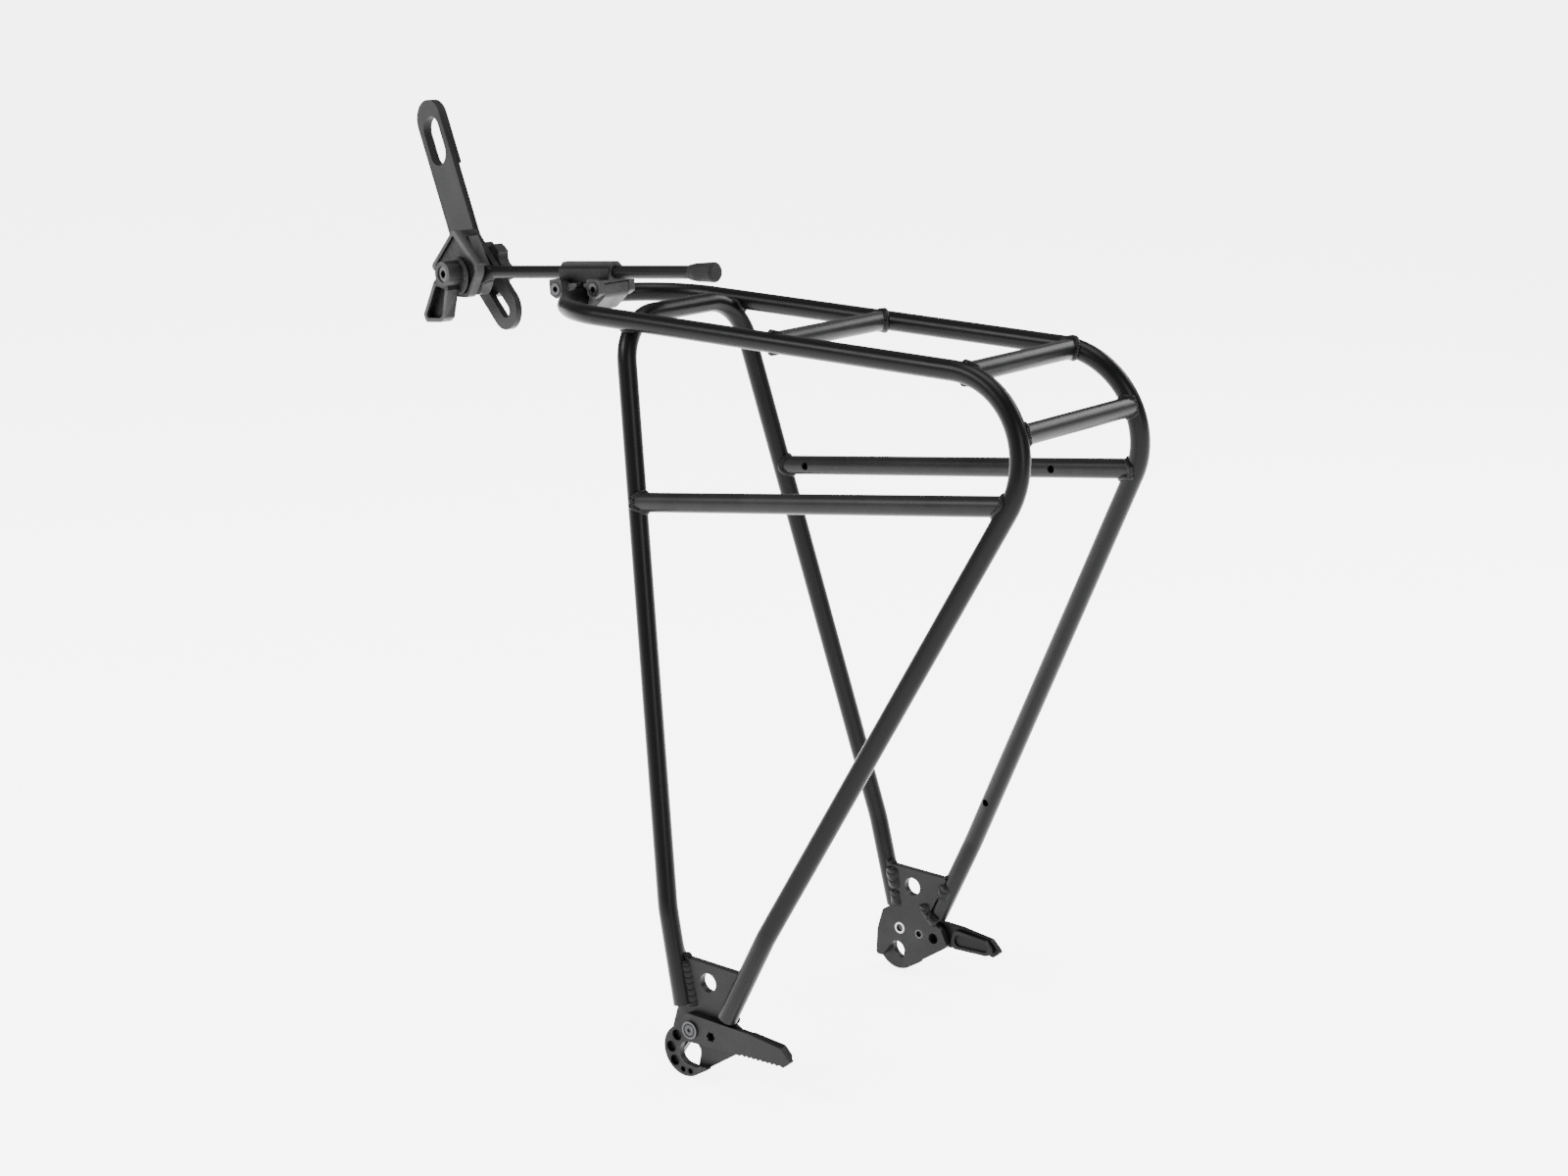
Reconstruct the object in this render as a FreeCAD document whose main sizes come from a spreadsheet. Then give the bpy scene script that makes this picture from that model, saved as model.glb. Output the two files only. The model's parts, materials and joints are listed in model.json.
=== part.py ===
import FreeCAD, Part
import math
import os
from FreeCAD import Placement, Rotation, Vector

# Bicycle rear rack, millimetres.  The origin is the midpoint of the two dropout notches, +X points to
# the back of the bicycle, +Y to its right, +Z up.  The tubular frame is symmetric about Y = 0.  A stay
# rod in a clamp at the front of the deck carries the head and the slotted seat-stay bracket.

doc = FreeCAD.newDocument("rear_rack")
sheet = doc.addObject("Spreadsheet::Sheet", "sizes")

SIZES = {
    # frame tubing
    "tube_radius": 5.0,
    "tube_wall": 1.0,
    "deck_height": 357.4,
    "rail_half": 46.7,
    "loop_centre_x": -104.5,
    "stay_top_x": 181.5,
    "stay_bend": 42.5,
    "stay_foot_x": 23.0,
    "leg_foot_x": -5.7,
    "foot_half": 92.0,
    "foot_z": 24.4,
    "kink_z": 72.4,
    "kink_bend": 60.0,
    "arch_x": -88.05,
    "arch_z": 358.4,
    "arch_half": 45.3,
    "arch_bend": 27.0,
    "cross_front_x": 7.6,
    "cross_middle_x": 120.75,
    "cross_middle_z": 356.9,
    "cross_tail_x": 153.2,
    "cross_tail_z": 332.2,
    "drill_radius": 2.0,
    # dropout plates and hook levers
    "plate_inside": 86.4,
    "plate_thick": 4.0,
    "notch_radius": 4.9,
    "pivot_x": 1.2,
    "pivot_z": 12.9,
    "lock_x": 14.2,
    "lock_z": 12.6,
    "lock_radius": 2.5,
    "eyelet_x": 23.7,
    "eyelet_z": 12.3,
    "eyelet_radius": 3.0,
    "light_hole_radius": 5.0,
    "sleeve_radius": 3.2,
    "pivot_radius": 2.2,
    "pivot_head_radius": 4.6,
    "pivot_head_thick": 1.1,
    "pivot_sink": 1.2,
    "washer_thick": 0.45,
    "washer_radius": 4.6,
    "lever_inside": 90.9,
    "lever_thick": 3.6,
    "grip_inside": 88.3,
    "grip_thick": 5.9,
    "grip_recess": 1.0,
    "ring_hole_deep": 2.3,
    "running_gap": 0.05,
    # stay rod and its clamp
    "rod_yaw": 3.0,
    "rod_pitch": 6.3,
    "rod_radius": 3.5,
    "rod_rise": 12.2,
    "rod_front": -73.0,
    "rod_back": 87.0,
    "clamp_half": 18.4,
    "cap_half_width": 13.5,
    "cap_arch": 5.7,
    "jaw_half_width": 9.0,
    "ear_x": 14.0,
    "ear_half": 4.4,
    "clamp_screw_z": 4.4,
    "clamp_screw_radius": 2.0,
    "clamp_head_radius": 3.3,
    # head, bracket, lever and thumb nut
    "head_x": -96.0,
    "head_yaw": 11.0,
    "tab_half_thick": 1.5,
    "tab_half_height": 5.1,
    "bolt_radius": 2.5,
    "bolt_clearance": 0.1,
    "outer_plate_thick": 4.9,
    "inner_plate_thick": 6.8,
    "bracket_near": 8.6,
    "bracket_thick": 3.8,
    "bracket_pad": 1.6,
    "bracket_half": 11.5,
    "slot_half": 3.85,
    "strap_slot_half": 7.5,
    "tooth_pitch": 2.0,
    "tooth_depth": 0.9,
    "knob_radius": 15.5,
    "knob_thick": 6.5,
    "boss_radius": 6.9,
    "boss_top": 17.0,
}

for row, (alias, value) in enumerate(SIZES.items(), start=1):
    sheet.set(f"A{row}", alias)
    sheet.set(f"B{row}", str(value))
    sheet.setAlias(f"B{row}", alias)
doc.recompute()

subparts = []
SIDES = {"left": -1, "right": 1}


def size(alias):
    return float(sheet.get(alias))


def bind(target, prop, expression):
    """Tie a property to spreadsheet cells; a word that is an alias is looked up in the sheet."""
    words = sorted(SIZES, key=len, reverse=True)
    for number, word in enumerate(words):
        expression = expression.replace(word, f"<{number}>")
    for number, word in enumerate(words):
        expression = expression.replace(f"<{number}>", f"sizes.{word}")
    target.setExpression(prop, expression)


def subpart(made, label):
    """Register an object as a piece of the rack under its file name."""
    made.Label = label
    subparts.append(made)
    return made


# ---- outlines and bodies ---------------------------------------------------------------------------

def arc_of(centre_x, centre_y, radius, start, end):
    """An outline's round stretch: centre, radius, and its first and last angle in degrees."""
    return ("arc", centre_x, centre_y, radius, start, end)


def on_arc(item, angle):
    turn = math.radians(angle)
    return Vector(item[1] + item[3] * math.cos(turn), item[2] + item[3] * math.sin(turn), 0)


def outline(items):
    """Closed outline of lines and arcs.  An item is (x, y, corner radius) or an arc_of()."""
    count = len(items)
    starts, ends, curves = [], [], []
    for item in items:
        if item[0] == "arc":
            starts.append(on_arc(item, item[4]))
            ends.append(on_arc(item, item[5]))
        else:
            starts.append(Vector(item[0], item[1], 0))
            ends.append(Vector(item[0], item[1], 0))
    for at, item in enumerate(items):
        if item[0] == "arc":
            middle = on_arc(item, (item[4] + item[5]) / 2)
            curves.append(Part.Arc(starts[at], middle, ends[at]))
            continue
        corner = Vector(item[0], item[1], 0)
        back = (ends[at - 1] - corner).normalize()
        ahead = (starts[(at + 1) % count] - corner).normalize()
        half = back.getAngle(ahead) / 2
        if item[2] <= 0 or half > math.radians(89.5):
            curves.append(None)
            continue
        reach = item[2] / math.tan(half)
        starts[at] = corner + back * reach
        ends[at] = corner + ahead * reach
        inward = (back + ahead).normalize()
        middle = corner + inward * (item[2] / math.sin(half) - item[2])
        curves.append(Part.Arc(starts[at], middle, ends[at]))
    drawn = []
    for at in range(count):
        if curves[at]:
            drawn.append(curves[at])
        following = starts[(at + 1) % count]
        if (following - ends[at]).Length > 1e-6:
            drawn.append(Part.LineSegment(ends[at], following))
    return drawn


def circle(centre_x, centre_y, radius):
    return [Part.Circle(Vector(centre_x, centre_y, 0), Vector(0, 0, 1), radius)]


def stadium(first, second, radius):
    """A slot outline between two end centres."""
    along = math.degrees(math.atan2(second[1] - first[1], second[0] - first[0]))
    return outline([
        arc_of(second[0], second[1], radius, along - 90, along + 90),
        arc_of(first[0], first[1], radius, along + 90, along + 270),
    ])


def new_body(name, place=Placement()):
    body = doc.addObject("PartDesign::Body", name)
    body.Placement = place
    return body


def side_sketch(body, curves, offset):
    """Sketch in the body's XZ plane; offset is an expression, positive toward the body's -Y."""
    sketch = body.newObject("Sketcher::SketchObject", f"{body.Name}_sketch")
    plane = [one for one in body.Origin.OriginFeatures if one.Role == "XZ_Plane"][0]
    sketch.AttachmentSupport = (plane, [""])
    sketch.MapMode = "FlatFace"
    bind(sketch, "AttachmentOffset.Base.z", offset)
    sketch.addGeometry(curves)
    return sketch


def pad(body, curves, offset, thick):
    """Extrude an outline toward the body's -Y."""
    feature = body.newObject("PartDesign::Pad", f"{body.Name}_pad")
    feature.Profile = side_sketch(body, curves, offset)
    bind(feature, "Length", thick)
    doc.recompute()
    return feature


def pocket(body, curves, offset, deep):
    """Cut an outline out of the body, from the offset plane back toward its +Y."""
    before = body.Shape.Volume
    feature = body.newObject("PartDesign::Pocket", f"{body.Name}_pocket")
    feature.Profile = side_sketch(body, curves, offset)
    bind(feature, "Length", deep)
    doc.recompute()
    assert body.Shape.Volume < before - 0.1, f"{feature.Label} cut nothing"
    return feature


def cylinder(name, radius, length, place=Placement()):
    """Part cylinder along its own +Z, radius and length given as expressions."""
    made = doc.addObject("Part::Cylinder", name)
    bind(made, "Radius", radius)
    bind(made, "Height", length)
    made.Placement = place
    return made


def solid(name, shape):
    """A shape built with Part's own functions, held in the document."""
    made = doc.addObject("Part::Feature", name)
    made.Shape = shape
    return made


def cut(name, base, *tools):
    """Base minus every tool in turn."""
    for number, tool in enumerate(tools):
        made = doc.addObject("Part::Cut", f"{name}_cut_{number}")
        made.Base = base
        made.Tool = tool
        base = made
    return base


def fuse(name, *shapes):
    made = doc.addObject("Part::MultiFuse", name)
    made.Shapes = list(shapes)
    made.Refine = True
    return made


def compound(name, *links):
    made = doc.addObject("Part::Compound", name)
    made.Links = list(links)
    return made


def along_y(x, y, z):
    """Placement that lays a cylinder's axis along +Y, starting at the point."""
    return Placement(Vector(x, y, z), Rotation(Vector(1, 0, 0), -90))


# ---- frame tubes -----------------------------------------------------------------------------------

def rounded_path(points):
    """Straight runs joined by tangent arcs through (point, bend radius) pairs."""
    edges = []
    last = points[0][0]
    for at in range(1, len(points) - 1):
        corner, bend = points[at]
        back = (points[at - 1][0] - corner).normalize()
        ahead = (points[at + 1][0] - corner).normalize()
        half = back.getAngle(ahead) / 2
        reach = bend / math.tan(half)
        first = corner + back * reach
        final = corner + ahead * reach
        middle = corner + (back + ahead).normalize() * (bend / math.sin(half) - bend)
        edges.append(Part.makeLine(last, first))
        edges.append(Part.Arc(first, middle, final).toShape())
        last = final
    edges.append(Part.makeLine(last, points[-1][0]))
    return edges


def sweep(edges, radius):
    """Solid round bar along a path: a cylinder for each straight run, part of a torus for each arc."""
    runs = []
    for edge in edges:
        first, last = edge.FirstParameter, edge.LastParameter
        start, end = edge.valueAt(first), edge.valueAt(last)
        disc = Part.Face(Part.Wire([Part.makeCircle(radius, start, edge.tangentAt(first))]))
        if isinstance(edge.Curve, Part.Circle):
            turn = math.degrees(last - first)
            runs.append(disc.revolve(edge.Curve.Center, edge.Curve.Axis, turn))
        else:
            runs.append(disc.extrude(end - start))
    bar = runs[0].multiFuse(runs[1:])
    expected = math.pi * radius ** 2 * sum(edge.Length for edge in edges)
    assert abs(bar.Volume / expected - 1) < 0.001, f"bar volume {bar.Volume} against {expected}"
    return bar


def stay_path(side):
    """One rear stay, from its foot up over the bend and forward along the deck rail."""
    rail_y = side * size("rail_half")
    foot = Vector(size("stay_foot_x"), side * size("foot_half"), size("foot_z"))
    kink = Vector(45.0, side * 90.46, size("kink_z"))
    top = Vector(size("stay_top_x"), rail_y, size("deck_height"))
    front = Vector(size("loop_centre_x"), rail_y, size("deck_height"))
    return rounded_path([(foot, 0), (kink, size("kink_bend")), (top, size("stay_bend")), (front, 0)])


def loop_edges():
    """Left stay and rail, the front semicircle, then the right rail and stay."""
    radius = size("rail_half")
    centre = Vector(size("loop_centre_x"), 0, size("deck_height"))
    first = centre + Vector(0, -radius, 0)
    front = centre + Vector(-radius, 0, 0)
    final = centre + Vector(0, radius, 0)
    bow = Part.Arc(first, front, final).toShape()
    back = []
    for edge in reversed(stay_path(1)):
        turned = edge.copy()
        turned.reverse()
        back.append(turned)
    return stay_path(-1) + [bow] + back


def leg_edges():
    """Left leg, the arch across the front of the deck, and the right leg."""
    points = []
    for side in (-1, 1):
        foot = Vector(size("leg_foot_x"), side * size("foot_half"), size("foot_z"))
        kink = Vector(-17.9, side * 90.2, size("kink_z"))
        corner = Vector(size("arch_x"), side * size("arch_half"), size("arch_z"))
        leg = [(foot, 0), (kink, size("kink_bend")), (corner, size("arch_bend"))]
        points += leg if side < 0 else leg[::-1]
    return rounded_path(points)


outer = size("tube_radius")
bore = outer - size("tube_wall")
loop_bar = solid("loop_bar", sweep(loop_edges(), outer))
loop_core = solid("loop_core", sweep(loop_edges(), bore))
leg_bar = solid("leg_bar", sweep(leg_edges(), outer))
leg_core = solid("leg_core", sweep(leg_edges(), bore))
STAY_DRAIN = Vector(57.5, 82.0, 100.0)


def drains(name, points):
    """Small holes through the inner wall of each side's tube, given for the right side."""
    drills = []
    for label, side in SIDES.items():
        for number, point in enumerate(points):
            depth = -8.0 if side > 0 else 0.0
            place = along_y(point.x, side * point.y + depth, point.z)
            drills.append(cylinder(f"{name}_{label}_{number}", "drill_radius", "8", place))
    return compound(name, *drills)


def make_loop_and_legs():
    stay_drain = drains("stay_drain", [STAY_DRAIN + Vector(0, 3.0, 0)])
    subpart(cut("loop_tube", loop_bar, loop_core, stay_drain), "loop_tube")
    subpart(cut("leg_arch_tube", leg_bar, leg_core, loop_bar), "leg_arch_tube")


def make_cross_tube(label, x, z):
    """Tube across the deck, its ends coped to the rails."""
    length = "2 * rail_half"
    base = cylinder(f"{label}_bar", "tube_radius", length)
    core = cylinder(f"{label}_core", "tube_radius - tube_wall", length)
    for tube in (base, core):
        tube.Placement = along_y(0, -size("rail_half"), 0)
        bind(tube, "Placement.Base.x", x)
        bind(tube, "Placement.Base.z", z)
    subpart(cut(label, base, core, loop_bar), label)


def make_lower_rail(label, side):
    """Side rail for a pannier's lower hooks, coped to the leg and the stay."""
    front = Vector(-66.2, side * 59.97, 268.8)
    back = Vector(154.3, side * 54.9, 300.6)
    run = back - front
    place = Placement(front, Rotation(Vector(0, 0, 1), run))
    base = cylinder(f"{label}_bar", "tube_radius", str(run.Length), place)
    core = cylinder(f"{label}_core", "tube_radius - tube_wall", str(run.Length), place)
    holes = []
    for number, share in enumerate((0.085, 0.79)):
        spot = front + run * share
        depth = -6.0 if side > 0 else 0.0
        place = along_y(spot.x, spot.y + depth, spot.z)
        holes.append(cylinder(f"{label}_drill_{number}", "drill_radius", "6", place))
    subpart(cut(label, base, core, loop_bar, leg_bar, *holes), label)


# ---- dropout plates and hook levers ----------------------------------------------------------------

def side_offset(side, inside, thick):
    """Where a pad that runs toward -Y starts, for a layer that lies inside..inside+thick from Y = 0."""
    return inside if side < 0 else f"-({inside} + {thick})"


def plate_curves():
    """Dropout plate: web between leg and stay, open hook notch below, three round holes."""
    notch = arc_of(0, 0, size("notch_radius"), 147.4, -12.0)
    edge = outline([
        (-10.6, 54.5, 0),
        (-3.3, 26.0, 0),
        (-10.6, 21.3, 3),
        (-13.8, 9.0, 15),
        (-14.1, -6.0, 1.6),
        (-9.66, -6.0, 0.6),
        notch,
        (3.3, -9.5, 0.8),
        (9.0, -7.6, 12),
        (33.3, 9.6, 2.5),
        (28.6, 18.4, 3),
        (23.4, 21.2, 0),
        (21.0, 26.8, 0),
        (31.4, 48.7, 1),
        (-8.8, 48.7, 4),
    ])
    light_hole = circle(8.8, 38.9, size("light_hole_radius"))
    eyelet = circle(size("eyelet_x"), size("eyelet_z"), size("eyelet_radius"))
    lock = circle(size("lock_x"), size("lock_z"), size("lock_radius"))
    pivot = circle(size("pivot_x"), size("pivot_z"), size("sleeve_radius"))
    return edge + light_hole + eyelet + lock + pivot


def grip_teeth():
    """Scalloped lower edge of the lever's arm."""
    teeth = []
    first, last, count = 33.0, 59.0, 9
    step = (last - first) / count
    for number in range(count):
        start = first + number * step
        rise = 7.9 + 1.4 * number / count
        teeth.append((start, rise, 0.3))
        teeth.append((start + step / 2, rise + 0.9, 0.5))
    return teeth


def lever_curves():
    """Hook lever: a ring round the axle that opens to the rear, and an arm to the grip."""
    edge = outline([
        (-1.5, 21.3, 4),
        arc_of(-2.2, 0.6, 13.6, 125.0, 308.0),
        (13.0, -5.7, 0.9),
        (10.8, -4.8, 0.5),
        (5.5, -6.6, 3),
        arc_of(0.6, -0.1, 6.2, -85.0, -268.0),
        (8.0, 6.5, 6),
        (31.2, 7.9, 0),
        *grip_teeth(),
        (60.2, 9.3, 0.5),
        (64.4, 12.9, 1.2),
        (58.4, 18.9, 1.2),
        (38.4, 21.0, 8),
    ])
    edge += circle(size("pivot_x"), size("pivot_z"), size("pivot_radius") + size("running_gap"))
    return edge


RING_HOLES = ((-7.6, 7.6, 2.9), (-11.2, 0.4, 2.9), (-8.7, -6.4, 2.8), (-3.3, -9.8, 1.5), (1.5, -9.6, 1.5))


def ring_hole_curves():
    """Blind lightening holes in the ring, smaller toward the hook's tip."""
    curves = []
    for centre_x, centre_z, radius in RING_HOLES:
        curves += circle(centre_x, centre_z, radius)
    return curves


def grip_curves(rim):
    """Rounded grip pad on the arm's inner side, or the same outline drawn in by a rim."""
    return outline([
        (35.6 + rim, 20.0 - rim, 3),
        (33.6 + rim, 8.9 + rim, 3),
        (57.2 - rim * 0.6, 10.2 + rim, 3),
        (62.6 - rim, 13.2, 2),
        (57.0 - rim * 0.6, 18.7 - rim, 3),
    ])


def make_plate(label, side):
    body = new_body(f"{label}_body")
    pad(body, plate_curves(), side_offset(side, "plate_inside", "plate_thick"), "plate_thick")
    subpart(cut(label, body, loop_bar, leg_bar), label)


def make_lever(label, side):
    body = new_body(f"{label}_body")
    pad(body, lever_curves(), side_offset(side, "lever_inside", "lever_thick"), "lever_thick")
    pad(body, grip_curves(0), side_offset(side, "grip_inside", "grip_thick"), "grip_thick")
    if side < 0:
        pocket(body, ring_hole_curves(), "lever_inside + lever_thick", "ring_hole_deep")
        pocket(body, grip_curves(1.9), "grip_inside + grip_recess", "grip_recess")
    else:
        pocket(body, ring_hole_curves(), "-(lever_inside + lever_thick - ring_hole_deep)", "ring_hole_deep")
        pocket(body, grip_curves(1.9), "-grip_inside", "grip_recess")
    at_star = outward(side, size("lock_x"), size("lever_inside") - 1, size("lock_z"))
    star = socket(f"{label}_star", True, 2.7, 6.0, at_star)
    subpart(cut(label, body, star), label)


def socket(name, lobes, radius, deep, place):
    """Six-lobe or hexagon socket: the tool that is cut into a screw's end, along +Z of its place."""
    if lobes:
        core = Part.makeCylinder(radius * 0.82, deep)
        for number in range(6):
            turn = math.radians(60 * number)
            spot = Vector(radius * 0.75 * math.cos(turn), radius * 0.75 * math.sin(turn), 0)
            core = core.fuse(Part.makeCylinder(radius * 0.27, deep, spot))
        core = core.removeSplitter()
    else:
        ring = [Vector(radius * math.cos(a), radius * math.sin(a), 0)
                for a in (math.radians(60 * number) for number in range(7))]
        core = Part.Face(Part.makePolygon(ring)).extrude(Vector(0, 0, deep))
    made = solid(name, core)
    made.Placement = place
    return made


def outward(side, x, distance, z):
    """Placement whose +Z points away from the middle of the rack."""
    turn = 90 if side < 0 else -90
    return Placement(Vector(x, side * distance, z), Rotation(Vector(1, 0, 0), turn))


def make_lever_hardware(name, side):
    x, z = size("pivot_x"), size("pivot_z")
    inside = size("plate_inside")
    plate_out = inside + size("plate_thick")
    lever_out = size("lever_inside") + size("lever_thick")

    at_plate = outward(side, x, inside, z)
    shell = cylinder(f"sleeve_shell_{name}", "sleeve_radius", "plate_thick", at_plate)
    hole = cylinder(f"sleeve_hole_{name}", "pivot_radius", "plate_thick", at_plate)
    subpart(cut(f"pivot_sleeve_{name}", shell, hole), f"pivot_sleeve_{name}")

    shank_length = "lever_inside + lever_thick + 0.1 - plate_inside - pivot_sink"
    at_shank = outward(side, x, inside + size("pivot_sink"), z)
    shank = cylinder(f"pivot_shank_{name}", "pivot_radius", shank_length, at_shank)
    at_head = outward(side, x, lever_out + 0.1, z)
    head = cylinder(f"pivot_head_{name}", "pivot_head_radius", "pivot_head_thick", at_head)
    screw = fuse(f"pivot_blank_{name}", shank, head)
    groove = doc.addObject("Part::Torus", f"pivot_groove_{name}")
    groove.Radius1 = 3.2
    groove.Radius2 = 0.4
    groove.Placement = outward(side, x, lever_out + 0.1 + size("pivot_head_thick"), z)
    dimple = cylinder(f"pivot_dimple_{name}", "1.1", "1", outward(side, x, lever_out + 0.7, z))
    subpart(cut(f"pivot_screw_{name}", screw, groove, dimple), f"pivot_screw_{name}")

    at_gap = outward(side, x, plate_out, z)
    disc = cylinder(f"washer_disc_{name}", "washer_radius", "washer_thick", at_gap)
    eye = cylinder(f"washer_eye_{name}", "pivot_radius", "washer_thick", at_gap)
    subpart(cut(f"lever_washer_{name}", disc, eye), f"lever_washer_{name}")

    at_lock = outward(side, size("lock_x"), inside, size("lock_z"))
    plug = cylinder(f"lock_plug_{name}", "lock_radius", "plate_thick", at_lock)
    near = socket(f"lock_near_{name}", True, 1.9, 1.6, at_lock)
    far_place = outward(side, size("lock_x"), plate_out - 1.6, size("lock_z"))
    far = socket(f"lock_far_{name}", True, 1.9, 1.7, far_place)
    subpart(cut(f"lock_screw_{name}", plug, near, far), f"lock_screw_{name}")


# ---- stay rod clamp --------------------------------------------------------------------------------
# The rod's frame has its origin on the deck loop's centreline, +X back along the rod, +Z up.

bow_turn = math.radians(size("rod_yaw"))
rod_origin = Vector(
    size("loop_centre_x") - size("rail_half") * math.cos(bow_turn),
    size("rail_half") * math.sin(bow_turn),
    size("deck_height"),
)
level = Rotation(Vector(0, 0, 1), -size("rod_yaw"))
rod_place = Placement(rod_origin, level * Rotation(Vector(0, 1, 0), -size("rod_pitch")))


def in_rod(x, y, z, turn=Rotation()):
    return rod_place.multiply(Placement(Vector(x, y, z), turn))


ALONG_X = Rotation(Vector(0, 1, 0), 90)
ALONG_Y = Rotation(Vector(1, 0, 0), -90)


def ear_curves(end):
    """One ear: square shoulders and a shallow V at the bottom, about its screw."""
    middle = end * size("ear_x")
    half = size("ear_half")
    return outline([
        (middle - half, 9.4, 1.0),
        (middle - half, 1.6, 1.4),
        (middle, -0.8, 1.4),
        (middle + half, 1.6, 1.4),
        (middle + half, 9.4, 1.0),
    ])


def make_clamp_cap():
    """Cap over the rod: a ribbed arch on a saddle plate with four ears that hang beside the jaws."""
    half = size("clamp_half")
    body = new_body("clamp_cap_body", rod_place)
    saddle = outline([(-half, 12.0, 0), (-half, 7.2, 1), (half, 7.2, 1), (half, 12.0, 0)])
    pad(body, saddle, "-cap_arch", "2 * cap_arch")
    for end in (-1, 1):
        middle = end * size("ear_x")
        ear = size("ear_half")
        web = outline([
            (middle - ear, 9.6, 0.8),
            (middle - ear, 7.2, 0),
            (middle + ear, 7.2, 0),
            (middle + ear, 9.6, 0.8),
        ])
        pad(body, web, "-cap_half_width", "2 * cap_half_width")
        for start in ("jaw_half_width + 0.3", "-cap_half_width"):
            pad(body, ear_curves(end), start, "cap_half_width - jaw_half_width - 0.3")
    arch = doc.addObject("Part::Prism", "cap_arch_bar")
    arch.Polygon = 8
    bind(arch, "Circumradius", "cap_arch / cos(22.5 deg)")
    bind(arch, "Height", "2 * clamp_half")
    flat_top = Rotation(Vector(0, 0, 1), 22.5)
    arch.Placement = in_rod(-half, 0, size("rod_rise"), ALONG_X * flat_top)
    under = doc.addObject("Part::Box", "cap_underside")
    bind(under, "Length", "2 * clamp_half + 2")
    bind(under, "Width", "4 * cap_arch")
    bind(under, "Height", "cap_arch")
    under.Placement = in_rod(-half - 1, -2 * size("cap_arch"), 7.2 - size("cap_arch"))
    blank = fuse("cap_blank", body, cut("cap_arch_trimmed", arch, under))
    channel = cylinder(
        "rod_channel",
        "rod_radius + running_gap",
        "2 * clamp_half + 2",
        in_rod(-half - 1, 0, size("rod_rise"), ALONG_X),
    )
    tools = [channel]
    for end in (-1, 1):
        x, z = end * size("ear_x"), size("clamp_screw_z")
        wide = size("cap_half_width")
        tag = "front" if end < 0 else "rear"
        hole = cylinder(
            f"ear_hole_{tag}",
            "clamp_screw_radius + bolt_clearance",
            "2 * cap_half_width + 2",
            in_rod(x, -wide - 1, z, ALONG_Y),
        )
        near = cylinder(f"ear_seat_{tag}", "clamp_head_radius + 0.2", "3.4", in_rod(x, -wide - 1, z, ALONG_Y))
        far = cylinder(f"nut_seat_{tag}", "clamp_head_radius + 0.4", "3.4", in_rod(x, wide - 2.4, z, ALONG_Y))
        tools += [hole, near, far]
    subpart(cut("rod_clamp_cap", blank, *tools), "rod_clamp_cap")


def bow_channel():
    """Belled bore about the tilt axis: it clears the curved front bend at every tilt of the clamp."""
    reach = size("jaw_half_width") + 1
    waist = size("tube_radius") + 3 * size("running_gap")
    bell = waist + reach ** 2 / (2 * size("rail_half")) + 0.05
    left, right = Vector(0, -reach, bell), Vector(0, reach, bell)
    mouth = Part.Arc(right, Vector(0, 0, waist), left).toShape()
    sides = Part.makePolygon([left, Vector(0, -reach, 0), Vector(0, reach, 0), right]).Edges
    profile = Part.Face(Part.Wire([mouth] + sides))
    made = solid("bow_channel", profile.revolve(Vector(), Vector(0, 1, 0), 360))
    made.Placement = rod_place
    return made


def make_jaws():
    """Front and rear jaw, each hugging half of the loop tube below the cap."""
    half = size("clamp_half")
    channel = bow_channel()
    for tag, end in (("front", -1), ("rear", 1)):
        body = new_body(f"clamp_jaw_{tag}_body", rod_place)
        points = [
            (end * 0.5, -7.6, 0.4),
            (end * 7.6, -7.6, 3.5),
            (end * (half - 0.4), 0.2, 3),
            (end * (half - 0.4), 7.0, 1),
            (end * 2.6, 7.0, 0.4),
            (end * 2.6, 0.0, 0),
            (end * 0.5, 0.0, 0),
        ]
        pad(body, outline(points), "-jaw_half_width", "2 * jaw_half_width")
        hole = cylinder(
            f"jaw_hole_{tag}",
            "clamp_screw_radius + bolt_clearance",
            "2 * jaw_half_width + 2",
            in_rod(end * size("ear_x"), -size("jaw_half_width") - 1, size("clamp_screw_z"), ALONG_Y),
        )
        subpart(cut(f"clamp_jaw_{tag}", body, hole, channel), f"clamp_jaw_{tag}")


def make_clamp_screws():
    """Two cross screws with sunk socket heads on the left and hexagon nuts on the right."""
    wide = size("cap_half_width")
    screws, nuts = [], []
    for tag, end in (("front", -1), ("rear", 1)):
        x, z = end * size("ear_x"), size("clamp_screw_z")
        shank = cylinder(
            f"clamp_shank_{tag}", "clamp_screw_radius", "2 * cap_half_width - 2.4", in_rod(x, 2.2 - wide, z, ALONG_Y)
        )
        head = cylinder(f"clamp_head_{tag}", "clamp_head_radius", "2.6", in_rod(x, -wide - 0.3, z, ALONG_Y))
        drive = socket(f"clamp_drive_{tag}", False, 1.7, 1.8, in_rod(x, -wide - 0.4, z, ALONG_Y))
        screws.append(cut(f"clamp_screw_{tag}", fuse(f"clamp_blank_{tag}", shank, head), drive))
        block = doc.addObject("Part::Prism", f"nut_block_{tag}")
        block.Polygon = 6
        bind(block, "Circumradius", "clamp_head_radius + 0.3")
        block.Height = 2.6
        block.Placement = in_rod(x, wide - 2.35, z, ALONG_Y)
        thread = cylinder(f"nut_thread_{tag}", "clamp_screw_radius", "4", in_rod(x, wide - 3, z, ALONG_Y))
        nuts.append(cut(f"clamp_nut_{tag}", block, thread))
    subpart(compound("clamp_screw_pair", *screws), "clamp_screws")
    subpart(compound("clamp_nut_pair", *nuts), "clamp_nuts")


# ---- rod, head and bracket -------------------------------------------------------------------------
# The head's frame has its origin where the bolt crosses the rod, +Z up, and -Y out to the left:
# offsets called near below are distances from the rod toward the left.

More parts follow.
